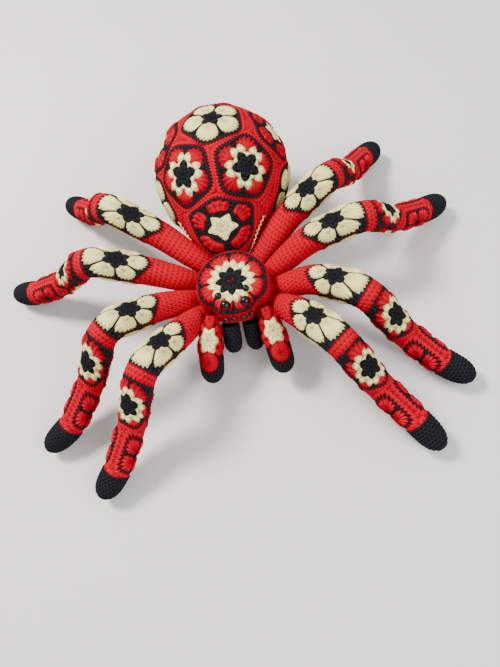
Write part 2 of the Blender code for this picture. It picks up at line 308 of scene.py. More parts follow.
def closedTube(points, fields):
    # A grid of rings by columns, whose ends are closed on their middles. The
    # rims are marked sharp, so a wall's shading stops at its rim.
    rings, columns, _ = points.shape
    index = np.arange(rings * columns).reshape(rings, columns)
    ahead = np.roll(index, -1, axis=1)
    quads = np.stack([index[:-1], ahead[:-1], ahead[1:], index[1:]], axis=-1).reshape(-1, 4)
    first = rings * columns
    startFan = np.stack([ahead[0], index[0], np.full(columns, first)], axis=-1)
    endFan = np.stack([index[-1], ahead[-1], np.full(columns, first + 1)], axis=-1)
    middles = np.stack([points[0].mean(axis=0), points[-1].mean(axis=0)])
    allPoints = np.concatenate([points.reshape(-1, 3), middles])
    allFields = {}
    for key, values in fields.items():
        ends = np.stack([values[0].mean(axis=0), values[-1].mean(axis=0)])
        allFields[key] = np.concatenate([values.reshape(-1, 3), ends])
    sharp = np.zeros(len(allPoints), bool)
    sharp[index[0]] = True
    sharp[index[-1]] = True
    return allPoints, quads, np.concatenate([startFan, endFan]), allFields, sharp


# Stitches and flower motifs

def hump(phase):
    # Raised cosine: 0 at whole numbers and 1 halfway between them.
    return 0.5 - 0.5 * np.cos(fullTurn * phase)


def zigzag(phase):
    # Triangle wave: 0 at whole numbers and 1 halfway between them.
    return 1 - np.abs(2 * (phase % 1.0) - 1)


def stitchBump(across, along):
    # One low hump for each stitch, and each row half a stitch on from the last.
    return hump(along) ** 0.6 * (0.5 + 0.5 * hump(across + 0.5 * np.floor(along)))


def pillow(field, rise, softness=1.3):
    # 0 outside a zone, rising to its full height inside as an exponential.
    return rise * (1 - np.exp(-np.maximum(field, 0) / softness))


def leafField(u, v, middle, length, width, power=2.0):
    # Signed field of a leaf that lies along u: an ellipse, or pointed below power 2.
    away = np.abs((u - middle) / length) ** power + np.abs(v / width) ** power
    return width * (1 - away ** (1 / power))


def softMin(first, second, corner):
    # The lesser of two fields, with the corner where they cross rounded off.
    return -corner * np.logaddexp(-first / corner, -second / corner)


noRing = {"ringRadius": 0.0, "lobe": (3.0, 1.0, 1.0), "lobeShare": 0.6}

flowers = {
    # core: radius of the star's middle.
    # leaf: a point of the star: where its middle is, half length, half width, power.
    # ringRadius, lobe: the same for the ring and for each half of its Vs.
    # lobeShare: where such a half stands, from a petal's middle (0) to the gap (1).
    # fanStart, fanEnd: from where to where a petal reaches.
    # fanRoot, teeth: where its stitches fan out from, and how many in half a turn.
    # gap, rim, corner: half the black between petals, the black round them, and how
    # round their corners are.
    # outline, squarer: the polygon's outer edge, and how sharp its corners are.
    # bright: the colours of star, ring and petals.
    "darkStar": {
        "petals": 5, "core": 7.4, "leaf": (8.0, 6.2, 5.0, 1.7),
        "ringRadius": 13.0, "lobe": (15.4, 5.6, 4.4, 1.5), "lobeShare": 0.66,
        "fanStart": 0.0, "fanEnd": 28.5, "fanRoot": 11.0, "teeth": 10,
        "gap": 0.6, "rim": 3.3, "corner": 3.2, "outline": 28.8, "squarer": 7,
        "bright": ("black", "cream", "red"),
    },
    "creamStar": {
        **noRing, "petals": 5, "core": 5.0, "leaf": (5.6, 7.6, 5.2, 1.3),
        "fanStart": 14.8, "fanEnd": 28.5, "fanRoot": 8.0, "teeth": 9,
        "gap": 2.4, "rim": 3.2, "corner": 1.9, "outline": 28.2, "squarer": 7,
        "bright": ("cream", "black", "red"),
    },
    "creamPetals": {
        **noRing, "petals": 5, "core": 5.8, "leaf": (6.6, 4.8, 4.2, 1.6),
        "fanStart": 0.0, "fanEnd": 28.5, "fanRoot": 13.5, "teeth": 12,
        "gap": 0.8, "rim": 3.0, "corner": 3.6, "outline": 28.8, "squarer": 7,
        "bright": ("black", "black", "cream"),
    },
    "headFlower": {
        "petals": 8, "core": 9.4, "leaf": (9.6, 5.2, 3.9, 1.5),
        "ringRadius": 16.6, "lobe": (17.2, 5.1, 3.6, 1.5), "lobeShare": 0.6,
        "fanStart": 0.0, "fanEnd": 31.0, "fanRoot": 15.0, "teeth": 9,
        "gap": 0.6, "rim": 3.3, "corner": 2.0, "outline": 33.7, "squarer": 16,
        "bright": ("black", "cream", "red"),
    },
    "kneeFlower": {
        **noRing, "petals": 6, "core": 5.4, "leaf": (6.2, 4.4, 3.8, 1.9),
        "fanStart": 0.0, "fanEnd": 27.0, "fanRoot": 12.5, "teeth": 11,
        "gap": 0.6, "rim": 2.3, "corner": 2.6, "outline": 24.0, "squarer": 12,
        "bright": ("black", "black", "cream"),
    },
    "shinFlower": {
        "petals": 6, "core": 6.4, "leaf": (7.4, 5.2, 4.4, 1.8),
        "ringRadius": 12.2, "lobe": (14.0, 5.2, 4.1, 1.5), "lobeShare": 0.64,
        "fanStart": 0.0, "fanEnd": 27.0, "fanRoot": 11.0, "teeth": 9,
        "gap": 0.6, "rim": 2.2, "corner": 2.4, "outline": 23.8, "squarer": 12,
        "bright": ("black", "cream", "red"),
    },
    "ankleFlower": {
        **noRing, "petals": 4, "core": 1.8, "leaf": (2.6, 1.9, 0.9, 2.0),
        "fanStart": 2.4, "fanEnd": 18.0, "fanRoot": 6.5, "teeth": 8,
        "gap": 0.9, "rim": 1.9, "corner": 1.5, "outline": 15.4, "squarer": 6,
        "bright": ("black", "black", "red"),
    },
    "palpFlower": {
        **noRing, "petals": 6, "core": 5.0, "leaf": (5.8, 6.4, 4.6, 1.3),
        "fanStart": 0.0, "fanEnd": 22.0, "fanRoot": 11.0, "teeth": 12,
        "gap": 0.2, "rim": 0.8, "corner": 1.0, "outline": 18.6, "squarer": 10,
        "bright": ("cream", "black", "red"),
    },
}

flowerRelief = {
    "rises": (0.8, 1.2, 1.6, 0.7),    # pillow heights of star, ring, petals and black
    "toothPitch": 3.0,
    "tooth": 2.2,              # how far the outline's stitches reach into each other
    "toothMiddle": 0.4,        # the zigzag's value where a tooth's edge isn't moved
    "toothFade": 3.0,          # how far from the outline its teeth die out
    "ridge": 0.7,              # height of the ridges that fan out over a petal
    "centreHole": 1.3,         # depth and radius of the hole in a star's middle
    "centreHoleRadius": 1.2,
    "petalHole": 0.8,          # depth of the hole at a petal's root, the square of
    "petalHoleSpread": 2.0,    # its radius, and how far beyond the root it is
    "petalHolePlace": 2.0,
    "starRow": 5.0,            # heights of one row in each zone
    "ringRow": 5.5,
    "petalRow": 16.0,
    "petalStart": 0.12,        # part of a row that a petal's root has behind it
    "blackRow": 4.35,
    "blackStart": 20.0,        # keeps the black's rows above 0
    "markStroke": 0.8,         # half thickness and slope of a small V in the star
    "markSlope": 0.9,
}


def flowerOutline(px, py, r, slant, half, flower, straight):
    # How far outside a polygon a point is: a norm of high power of its distances
    # along the two nearest sides' normals. straight squares the end of one side.
    squarer = flower["squarer"]
    nearSide = np.maximum(r * np.cos(half - slant), 0)
    farSide = np.maximum(r * np.cos(half + slant), 0)
    outside = (nearSide ** squarer + farSide ** squarer) ** (1 / squarer) - flower["outline"]
    if straight:
        side, reach = straight
        squared = np.maximum(px * side - reach, np.abs(py) - flower["outline"])
        outside = np.where(px * side > 0, squared, outside)
    return outside


def flowerFields(px, py, flower, straight=None, mark=0.0, turn=0.0):
    # One motif in its own plane, with a petal turn radians from +x and the star's
    # points in the gaps. Every zone is a signed field in millimetres, above 0
    # inside it. The star is its core and its leaves, the ring a disc with two
    # lobes for each petal, a petal what gap and rim leave of its sector, and
    # black fills the rest of a rounded polygon. straight is (side, reach): the
    # side along x where the polygon ends square at reach. mark is the half width
    # of a small red V.
    relief = flowerRelief
    half = np.pi / flower["petals"]
    r = np.hypot(px, py)
    theta = np.arctan2(py, px) - turn
    angle = theta - np.round(theta / (2 * half)) * 2 * half
    slant = np.abs(angle)
    u, v = r * np.cos(angle), r * np.sin(angle)
    lobeSlant = slant - flower["lobeShare"] * half
    leaf = leafField(r * np.cos(half - slant), r * np.sin(half - slant), *flower["leaf"])
    lobe = leafField(r * np.cos(lobeSlant), r * np.sin(lobeSlant), *flower["lobe"])
    star = np.maximum(flower["core"] - r, leaf)
    ring = np.maximum(flower["ringRadius"] - r, lobe)
    outside = flowerOutline(px, py, r, slant, half, flower, straight)
    around = theta / fullTurn * np.round(fullTurn * flower["outline"] / relief["toothPitch"])
    fade = np.exp(-(outside / relief["toothFade"]) ** 2)
    bite = relief["tooth"] * (zigzag(around) - relief["toothMiddle"]) * fade

    rootU = u - flower["fanRoot"]
    teeth = np.arctan2(v, rootU) / np.pi * flower["teeth"]
    fanEdge = np.minimum(-outside - flower["rim"], flower["fanEnd"] - r)
    fanEdge = fanEdge - relief["tooth"] * (zigzag(teeth + 0.5) - relief["toothMiddle"])
    fan = softMin(r * np.sin(half - slant) - flower["gap"], fanEdge, flower["corner"])
    if flower["fanStart"]:
        fan = softMin(fan, r - flower["fanStart"], flower["corner"] / 2)
    inStar = star > 0
    inRing = (ring > 0) & ~inStar
    inFan = (fan > 0) & (ring <= 0) & ~inStar

    black = np.minimum(-outside - bite, -np.maximum.reduce([star, ring, fan]))
    zones = [star, np.minimum(ring, -star), np.minimum(fan, -np.maximum(star, ring)), black]
    if mark:
        valley = py - (np.abs(px) - 1) * relief["markSlope"]
        stroke = relief["markStroke"] - np.hypot(valley, np.maximum(np.abs(px) - mark, 0))
        zones[0] = np.minimum(star, -stroke)
    height = sum(pillow(zone, rise) for zone, rise in zip(zones, relief["rises"]))
    height = height - relief["centreHole"] * np.exp(-(r / relief["centreHoleRadius"]) ** 2)
    fromHole = ((rootU - relief["petalHolePlace"]) ** 2 + v ** 2) / relief["petalHoleSpread"]
    petalRelief = relief["ridge"] * (hump(teeth) - 0.5) - relief["petalHole"] * np.exp(-fromHole)
    height = height + np.where(inFan, petalRelief, 0)

    across = np.where(inStar, theta / half + 0.5, around)
    across = np.where(inRing, theta / half * 1.5, across)
    across = np.where(inFan, teeth, across)
    along = np.where(inStar, r / relief["starRow"], outside / relief["blackRow"] + relief["blackStart"])
    along = np.where(inRing, (r - flower["leaf"][0]) / relief["ringRow"], along)
    fanned = relief["petalStart"] + np.hypot(rootU, v) / relief["petalRow"]
    along = np.where(inFan, fanned, along)
    fields = {colour: np.full(r.shape, -common["farOff"]) for colour in ("black", "cream")}
    for zone, colour in zip(zones, flower["bright"] + ("black",)):
        if colour != "red":
            fields[colour] = np.maximum(fields[colour], zone)
    edge = np.abs(np.stack([star, ring, fan, outside + bite])).min(axis=0)
    made = {"outside": outside, "height": height, "across": across, "along": along, "edge": edge}
    return {**made, **fields}


def chooseNearest(options):
    # Each point belongs to the motif whose outline it is furthest inside or
    # nearest to; the seam is where two are equally near.
    outside = np.stack([option["outside"] for option in options])
    order = np.argsort(outside, axis=0)
    picked = {key: np.take_along_axis(np.stack([option[key] for option in options]), order[:1], axis=0)[0]
              for key in options[0]}
    ranked = np.take_along_axis(outside, order[:2], axis=0)
    picked["seam"] = (ranked[1] - ranked[0]) / 2
    return picked


def workedFields(made):
    # Height of the surface and the two attributes, from a motif's fields; the first attribute's third
    # number is painted shade, darker between stitches and along the edges of zones.
    bump = stitchBump(made["across"], made["along"])
    height = made["height"] + common["stitchRise"] * bump
    paintedShade = common["pitShade"] + common["topShadeLift"] * bump
    paintedShade = paintedShade - common["edgeShade"] * np.exp(-(made["edge"] / common["edgeShadeWidth"]) ** 2)
    dyeAndShade = np.stack([made["black"], made["cream"], np.clip(paintedShade, 0, 1)], axis=-1)
    loops = np.stack([made["across"], made["along"], np.ones(paintedShade.shape)], axis=-1)
    return height, {"dyeAndShade": dyeAndShade, "loops": loops}


def plainRows(across, along, colour):
    # Rows of single stitches in one colour.
    zero = np.zeros(across.shape)
    far = zero + common["farOff"]
    fields = {"black": -far, "cream": -far}
    if colour != "red":
        fields[colour] = far
    return {"height": zero, "across": across, "along": along, "edge": far, **fields}


def pickFields(mask, first, second):
    # The first pattern where the mask holds, and elsewhere the second.
    keys = ("height", "across", "along", "black", "cream", "edge")
    return {key: np.where(mask, first[key], second[key]) for key in keys}


# Legs

legSpec = {
    # Bend points: end of the thigh, knee, ankle and toe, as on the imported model.
    "routes": {
        "left_front": ((56, -36, 68), (86, -78, 92), (144, -137, 23), (164, -162, 11)),
        "left_second": ((74, -6, 69), (115, -38, 92), (178, -86, 22), (206, -103, 11)),
        "left_third": ((75, 37, 68), (127, 40, 90), (199, 79, 23), (226, 95, 11)),
        "left_back": ((62, 70, 67), (106, 93, 89), (152, 161, 23), (172, 183, 11)),
        "right_front": ((-53, -39, 67), (-83, -78, 93), (-129, -146, 24), (-149, -167, 11)),
        "right_second": ((-74, -9, 68), (-118, -34, 92), (-175, -98, 23), (-205, -115, 11)),
        "right_third": ((-79, 31, 68), (-136, 42, 90), (-222, 57, 23), (-253, 68, 11)),
        "right_back": ((-66, 70, 68), (-118, 100, 94), (-171, 159, 23), (-195, 182, 11)),
    },
    "hipAngles": (-23.5, 2.5, 29.0, 56.0),     # degrees behind sideways, front leg first
    "hipHeight": 49.0,
    "hipLength": 6.0,          # straight run out of the head
    "tuck": 3.4,               # how far a thigh reaches into the head
    "bends": (4.0, 10.0, 20.0, 18.0, 11.0),    # arms of the bends, from hip to ankle
    "calfShare": 0.48,         # place and sag of the slack between knee and ankle
    "calfSag": 12.0,
    "shinShare": 0.6,          # the shin's part of the way from knee to ankle
    "columns": 128,
    "stitchesRound": 22,
    "thighRows": 14.0,         # rows in a length of thigh as long as the knee's stretch
    "thighFrom": 1.0,          # they start this far outside the knee's flowers
    "kneeFlowerLength": 55.5,
    "shinTurns": {"left": 0.0, "right": np.pi / 6},    # how the shins' flowers are turned
    "bandWidth": 9.4,
    "bandRise": 0.45,
    "bandOverlap": 0.4,        # how far its stitches reach over the shin's flowers
    "shinStar": 38.5,          # middles of the flowers, beyond the knee's stretch
    "shinTaper": 1.12,
    "ankleStar": 84.5,
    "ankleStretch": 0.82,
    "ankleRadius": 13.2,
    "footRadius": 12.9,
    "footBlunt": 3.4,          # the higher, the blunter the toe
    "footCrowding": 1.3,       # finer rings where the toe closes
    "footStitches": 20,
    "footRows": 10.0,
    "footRidge": 0.9,          # height of its rows, and of the furrows between them
    "footFurrow": 0.2,
    "fill": 0.9,
    "radii": {                 # (share of the section, radius)
        "thigh": ((0.0, 8.6), (0.1, 9.6), (0.25, 11.2), (0.55, 13.1), (1.0, 14.5)),
        "knee": ((0.0, 14.5), (0.5, 15.0), (1.0, 14.6)),
        "shin": ((0.0, 14.6), (1.0, 13.5)),
        "ankle": ((0.0, 13.5), (1.0, 12.9)),
    },
}

headOutline = {
    "halfWidth": 35.2,
    "halfLength": 35.6,
    "squareness": 2.1,
    "pinch": 5.0,              # how far it is drawn in beside the face, where in degrees
    "pinchAngle": -48.0,       # from sideways, and over how many
    "pinchSpread": 13.0,
}


def outlineRadius(angle):
    # Head's outline: 1 / r^n = (|cos| / a)^n + (|sin| / b)^n, drawn in beside the face.
    power = headOutline["squareness"]
    across = np.abs(np.cos(angle)) / headOutline["halfWidth"]
    along = np.abs(np.sin(angle)) / headOutline["halfLength"]
    below = np.degrees(np.arctan2(np.sin(angle), np.abs(np.cos(angle)))) - headOutline["pinchAngle"]
    pinch = headOutline["pinch"] * np.exp(-(below / headOutline["pinchSpread"]) ** 2)
    return (across ** power + along ** power) ** (-1 / power) - pinch


def unit(vector):
    return vector / np.linalg.norm(vector, axis=-1, keepdims=True)


def roundedRoute(corners, bends):
    # Straight runs, with each inner corner a parabola whose arms are its bend.
    share = np.linspace(0, 1, 25)[:, None]
    parts = [corners[:1]]
    for before, corner, after, bend in zip(corners, corners[1:], corners[2:], bends):
        start = corner + unit(before - corner) * bend
        end = corner + unit(after - corner) * bend
        parts.append(start * (1 - share) ** 2 + corner * 2 * share * (1 - share) + end * share ** 2)
    parts.append(corners[-1:])
    return np.concatenate(parts)


def runLengths(route):
    return np.concatenate([[0.0], np.cumsum(np.linalg.norm(np.diff(route, axis=0), axis=1))])


def legRoute(name, hipDegrees):
    side = 1 if name.startswith("left") else -1
    angle = np.radians(hipDegrees)
    radius = outlineRadius(angle)
    x, y = radius * np.cos(angle), radius * np.sin(angle)
    power = headOutline["squareness"] - 1
    slopeX = (x / headOutline["halfWidth"]) ** power / headOutline["halfWidth"]
    slopeY = (abs(y) / headOutline["halfLength"]) ** power / headOutline["halfLength"]
    outward = unit(np.array([side * slopeX, slopeY * np.sign(y), 0.0]))
    root = np.array([side * x, headMiddleY + y, legSpec["hipHeight"]]) - outward * legSpec["tuck"]
    hip = root + outward * (legSpec["hipLength"] + legSpec["tuck"])
    thigh, knee, ankle, toe = (np.array(point, float) for point in legSpec["routes"][name])
    calf = knee + (ankle - knee) * legSpec["calfShare"] - np.array([0.0, 0.0, legSpec["calfSag"]])
    corners = np.stack([root, hip, thigh, knee, calf, ankle, toe])
    route = roundedRoute(corners, legSpec["bends"])
    straight = runLengths(corners)
    scale = runLengths(route)[-1] / straight[-1]
    shinEnd = straight[3] + (straight[5] - straight[3]) * legSpec["shinShare"]
    marks = np.array([0.0, straight[2], straight[3], shinEnd, straight[5], straight[6]]) * scale
    return route + origin, marks


def valueAlong(pairs, share):
    shares, values = zip(*pairs)
    return np.interp(share, shares, values)


def legRadius(distance, marks):
    # Each section's own radii, and a foot that closes in a blunt toe.
    radius = np.zeros(distance.shape)
    for pairs, start, end in zip(legSpec["radii"].values(), marks, marks[1:]):
        inside = (distance >= start - 1e-6) & (distance <= end + 1e-6)
        radius = np.where(inside, valueAlong(pairs, (distance - start) / (end - start)), radius)
    share = np.clip((distance - marks[4]) / (marks[5] - marks[4]), 0, 1)
    foot = legSpec["footRadius"] * roundedTail(share, legSpec["footBlunt"])
    return np.where(share > 0, foot, radius), share


def wrapAngle(angle):
    return (angle + np.pi) % fullTurn - np.pi


def flowersRound(middles, along, around, flower, straight, turn=0.0):
    # The same flower at several angles round a tube. Its outline reaches over a
    # quarter turn to each side.
    made = []
    for middle in middles:
        py = wrapAngle(around - middle) / quarterTurn * flower["outline"]
        made.append(flowerFields(along, py, flower, straight, turn=turn))
    return made


def legPattern(share, length, around, shinTurn):
    # Two knee flowers, a band of rows, two shin flowers, two ankle flowers at the
    # sides, and plain rows on the thigh. share is 0 to 1 along the knee's
    # stretch, length the millimetres beyond it, both measured on the surface
    # itself, and around the angle round the leg.
    kneeLength = legSpec["kneeFlowerLength"]
    overAndUnder = (0.0, np.pi)
    kneeX = (share - 0.5) * kneeLength
    options = flowersRound(overAndUnder, kneeX, around, flowers["kneeFlower"], (1, kneeLength / 2))
    knee = chooseNearest(options)
    shinX = length - legSpec["shinStar"]
    shinX = np.where(shinX > 0, shinX * legSpec["shinTaper"], shinX)
    straight = (-1, legSpec["shinStar"] - legSpec["bandWidth"])
    options = flowersRound(overAndUnder, shinX, around, flowers["shinFlower"], straight, shinTurn)
    for middle in (-quarterTurn, quarterTurn):
        ankleX = (length - legSpec["ankleStar"]) * legSpec["ankleStretch"]
        ankleY = wrapAngle(around - middle) * legSpec["ankleRadius"]
        plane = (ankleX - ankleY) * diagonal, (ankleX + ankleY) * diagonal
        options.append(flowerFields(*plane, flowers["ankleFlower"]))
    shin = chooseNearest(options)
    stitches = around / fullTurn * legSpec["stitchesRound"]
    made = pickFields(length < 0, knee, shin)
    band = plainRows(stitches, length / common["rowHeight"], "red")
    band["height"] = band["height"] + legSpec["bandRise"]
    bandEnd = legSpec["bandWidth"] + legSpec["bandOverlap"] * hump(stitches)
    made = pickFields((length >= 0) & (length < bandEnd), band, made)
    thigh = plainRows(stitches, share * legSpec["thighRows"], "red")
    return pickFields((share < 0.5) & (knee["outside"] > legSpec["thighFrom"]), thigh, made)


def footPattern(share, around):
    # Ridged black rows.
    stitches = around / fullTurn * legSpec["footStitches"]
    rows = plainRows(stitches, share * legSpec["footRows"], "black")
    rows["height"] = legSpec["footFurrow"] + legSpec["footRidge"] * hump(rows["along"]) ** 0.7
    return rows


def smoothPath(values, passes):
    # Repeated averaging of neighbours, with the two ends held.
    for _ in range(passes):
        values[1:-1] = (values[:-2] + values[1:-1] * 2 + values[2:]) / 4
    return values


def surfaceRun(points):
    # How far each point of a grid is from its first row, measured down its column.
    steps = np.linalg.norm(np.diff(points, axis=0), axis=-1)
    return np.concatenate([np.zeros((1, steps.shape[1])), np.cumsum(steps, axis=0)])


def tubeFrame(route, distances):
    # Centre, upward and sideways vectors at each distance along a route.
    lengths = runLengths(route)
    fine = np.linspace(0, lengths[-1], int(lengths[-1]) + 2)
    dense = np.stack([np.interp(fine, lengths, route[:, axis]) for axis in range(3)], axis=-1)
    dense = smoothPath(dense, common["smoothing"])
    heading = smoothPath(unit(np.gradient(dense, axis=0)), common["smoothing"])

    def sampled(table):
        return np.stack([np.interp(distances, fine, table[:, axis]) for axis in range(3)], axis=-1)

    centre, heading = sampled(dense), unit(sampled(heading))
    upward = unit(np.array([0.0, 0.0, 1.0]) - heading * heading[:, 2:])
    return centre, upward, np.cross(upward, heading)


def tubeSurface(route, distances, radii, columns):
    # A ring at each distance: centre + radius * (up cos + side sin).
    centre, upward, sideways = tubeFrame(route, distances)
    around = np.linspace(0, fullTurn, columns, endpoint=False)
    outward = upward[:, None] * np.cos(around)[:, None] + sideways[:, None] * np.sin(around)[:, None]
    points = centre[:, None] + outward * radii[:, None, None]
    return points, outward, np.broadcast_to(wrapAngle(around), points.shape[:2])


def raisedTube(points, outward, made):
    # A tube's points moved out by its pattern's height, and kept off the floor.
    height, fields = workedFields(made)
    raised = points + outward * (height - common["sunk"])[..., None]
    raised[..., 2] = np.maximum(raised[..., 2], common["footprint"])
    return raised, fields


def roundedTail(share, power):
    # Root of 1 - share^power: 1 along the tube, falling to a closed round end.
    return np.maximum(1 - share ** power, 0.0004) ** 0.5


def buildLeg(name, hipDegrees):
    # One tube from hip to toe, worked as a whole and then cut into its stretches.
    route, marks = legRoute(name, hipDegrees)
    labels = ("thigh", "knee", "shin", "ankle", "foot")
    slots = ("red_yarn", "cream_yarn", "red_yarn", "red_yarn", "black_yarn")
    rows, distances = [0], [np.zeros(1)]
    for label, start, end in zip(labels, marks, marks[1:]):
        steps = int(round((end - start) / common["gridStep"]))
        spread = np.linspace(0, 1, steps + 1)[1:]
        if label == "foot":
            spread = np.sin(np.linspace(0, quarterTurn, int(steps * legSpec["footCrowding"])))[1:]
        distances.append(start + (end - start) * spread)
        rows.append(rows[-1] + len(spread))
    distances = np.concatenate(distances)
    radii, footShare = legRadius(distances, marks)
    points, outward, around = tubeSurface(route, distances, radii, legSpec["columns"])
    run = surfaceRun(points)
    share = (run - run[rows[1]]) / (run[rows[2]] - run[rows[1]])
    shinTurn = legSpec["shinTurns"][name.split("_")[0]]
    made = legPattern(share, run - run[rows[2]], around, shinTurn)
    isFoot = (distances > marks[4])[:, None] & (run > 0)
    made = pickFields(isFoot, footPattern(footShare[:, None] + 0 * around, around), made)
    raised, fields = raisedTube(points, outward, made)
    for label, slot, first, last in zip(labels, slots, rows, rows[1:]):
        piece = slice(first, last + 1)
        part = closedTube(raised[piece], {key: values[piece] for key, values in fields.items()})
        mesh = meshFromArrays(f"leg_{name}_{label}_crochet", *part)
        addPiece(f"leg_{name}_{label}_crochet", mesh, yarn, [f"leg_{name}_{label}"])


for legName, hipDegrees in zip(legSpec["routes"], legSpec["hipAngles"] * 2):
    buildLeg(legName, hipDegrees)
print("legs made")


# Palps and fangs

faceSpec = {
    "middleX": 1.2,            # the face's middle, which sits a little to its left
    "palpRoute": ((24.2, -24.6, 63.4), (30.4, -47.5, 51.0), (35.2, -74.5, 21.0)),
    "palpBend": 12.0,
    "palpShare": 0.76,         # the motif tube's part of a palp
    "palpRadii": ((0.0, 6.4), (0.16, 9.0), (0.4, 11.7), (0.62, 12.5), (0.76, 12.1), (1.0, 12.1)),
    "palpBlunt": 2.2,
    "palpRings": 84,
    "palpTipRings": 34,
    "palpColumns": 104,
    "palpFill": 0.85,
    "palpStar": 0.42,          # place of the star, as a part of the motif tube
    "palpTipFrom": 14.5,       # black outside the end petals from this far beyond the star
    "palpPetals": ((-18.0, 8.8), (18.8, 10.4)),    # place and radius of the two end petals
    "palpPetalArm": 12.3,      # radius of the tube that they lie on
    "palpPetalLine": 1.1,      # the black line round them, and its height
    "palpPetalLineRise": 0.4,
    "palpPetalRidge": 0.4,
    "palpPetalRow": 12.0,
    "palpPetalCrown": 6.0,     # radius inside which its edge's teeth fade
    "palpTeeth": 22,
    "palpTooth": 2.2,
    "palpStitches": 17,
    "palpRow": 3.6,
    "fangRoute": ((10.2, -29.4, 50.0), (10.5, -39.0, 39.5), (11.0, -49.0, 27.5)),
    "fangBend": 8.0,
    "fangRadius": 9.6,
    "fangBlunt": 7.0,
    "fangRings": 64,
    "fangColumns": 72,
    "fangFill": 0.9,
    "fangStitches": 14,
    "fangRow": 3.3,
}


def sideRoute(corners, bend, side):
    # A rounded route on one side of the face, mirrored on its middle.
    mirrored = np.array([(x * side + faceSpec["middleX"], y, z) for x, y, z in corners])
    return roundedRoute(mirrored, (bend,)) + origin


def endPetal(px, py, radius):
    # A round petal with a toothed edge and a black line round it.
    away = np.hypot(px, py)
    teeth = np.arctan2(py, px) / fullTurn * faceSpec["palpTeeth"]
    bite = faceSpec["palpTooth"] * (zigzag(teeth + 0.5) - flowerRelief["toothMiddle"])
    inside = radius - away - bite * np.clip(away / faceSpec["palpPetalCrown"], 0, 1)
    hole = flowerRelief["petalHole"] * np.exp(-(away / flowerRelief["centreHoleRadius"]) ** 2)
    height = pillow(inside, flowerRelief["rises"][2]) - hole
    height = height + faceSpec["palpPetalRidge"] * (hump(teeth) - 0.5)
    height = np.where(inside > 0, height, faceSpec["palpPetalLineRise"])
    along = flowerRelief["petalStart"] + away / faceSpec["palpPetalRow"]
    fields = {"black": -inside, "cream": inside * 0 - common["farOff"], "edge": np.abs(inside)}
    return inside, {**fields, "across": teeth, "along": along, "height": height}


def palpPattern(distance, around, join):
    # A flower above and one below, whose end petals are whole discs, and a black tip.
    star = join * faceSpec["palpStar"]
    options = flowersRound((0.0, np.pi), distance - star, around, flowers["palpFlower"], None)
    for option, middle in zip(options, (0.0, np.pi)):
        option["petalArc"] = wrapAngle(around - middle) * faceSpec["palpPetalArm"]
    made = chooseNearest(options)
    stitches = around / fullTurn * faceSpec["palpStitches"]
    tip = plainRows(stitches, (distance - join) / faceSpec["palpRow"], "black")
    arc, starField = made["petalArc"], made["cream"]
    made = pickFields((distance > star + faceSpec["palpTipFrom"]) & (starField < 0), tip, made)
    for place, radius in faceSpec["palpPetals"]:
        inside, petal = endPetal(distance - star - place, arc, radius)
        made = pickFields((inside > -faceSpec["palpPetalLine"]) & (starField < -0.2), petal, made)
    return made


def buildPalp(sideName, side):
    # One tube, worked as a whole and then cut where its black tip starts.
    route = sideRoute(faceSpec["palpRoute"], faceSpec["palpBend"], side)
    total = runLengths(route)[-1]
    join = total * faceSpec["palpShare"]
    body = np.linspace(0, join, faceSpec["palpRings"])
    tip = join + (total - join) * np.sin(np.linspace(0, quarterTurn, faceSpec["palpTipRings"]))[1:]
    distances = np.concatenate([body, tip])
    radii = valueAlong(faceSpec["palpRadii"], distances / total)
    tipShare = np.clip((distances - join) / (total - join), 0, 1)
    radii = radii * roundedTail(tipShare, faceSpec["palpBlunt"])
    points, outward, around = tubeSurface(route, distances, radii, faceSpec["palpColumns"])
    made = palpPattern(distances[:, None] + 0 * around, around, join)
    raised, fields = raisedTube(points, outward, made)
    cut = faceSpec["palpRings"]
    parts = (("", "red_yarn", slice(0, cut)), ("_tip", "black_yarn", slice(cut - 1, None)))
    for label, slot, piece in parts:
        name = f"palp_{sideName}{label}"
        part = closedTube(raised[piece], {key: values[piece] for key, values in fields.items()})
        mesh = meshFromArrays(f"{name}_crochet", *part)
        addPiece(f"{name}_crochet", mesh, yarn, [name])


def buildFang(sideName, side):
    route = sideRoute(faceSpec["fangRoute"], faceSpec["fangBend"], side)
    total = runLengths(route)[-1]
    distances = total * np.sin(np.linspace(0, quarterTurn, faceSpec["fangRings"]))
    radii = faceSpec["fangRadius"] * roundedTail(distances / total, faceSpec["fangBlunt"])
    points, outward, around = tubeSurface(route, distances, radii, faceSpec["fangColumns"])
    stitches = around / fullTurn * faceSpec["fangStitches"]
    rows = plainRows(stitches, distances[:, None] / faceSpec["fangRow"] + 0 * around, "black")
    name = f"fang_{sideName}"
    mesh = meshFromArrays(f"{name}_crochet", *closedTube(*raisedTube(points, outward, rows)))
    addPiece(f"{name}_crochet", mesh, yarn, [name])


for sideName, side in (("left", 1), ("right", -1)):
    buildPalp(sideName, side)
    buildFang(sideName, side)
print("palps and fangs made")


# Head

headSpec = {
    "flowerMiddle": (0.0, -1.0),
    "flowerMark": 2.0,         # half width of the small red V in the star
    "rings": 190,
    "columns": 300,
    "profile": (               # (share of the outline, height) from the crown down
        (0.0, 81.4), (0.3, 81.2), (0.55, 80.6), (0.74, 79.9), (0.86, 78.8), (0.95, 76.6),
        (0.99, 73.2), (1.0, 66.0), (1.0, 58.0), (1.0, 48.0), (0.985, 43.0), (0.95, 39.0),
        (0.86, 35.3), (0.7, 33.5), (0.45, 33.0), (0.0, 33.0),
    ),
    "crownFrom": 60.0,         # the rings above this height close in on the flower
    "flowerFrom": 50.0,        # and directions above this one are measured from it
    "rowsFrom": 1.0,           # plain rows start this far outside the flower
    "rimRun": 34.0,            # from the flower's middle to the first plain row
    "stitchesRound": 54,
    "setback": 13.5,           # how far the wall under the face is set back
    "setbackHeights": (54.0, 60.0),
    "fill": 0.8,
}


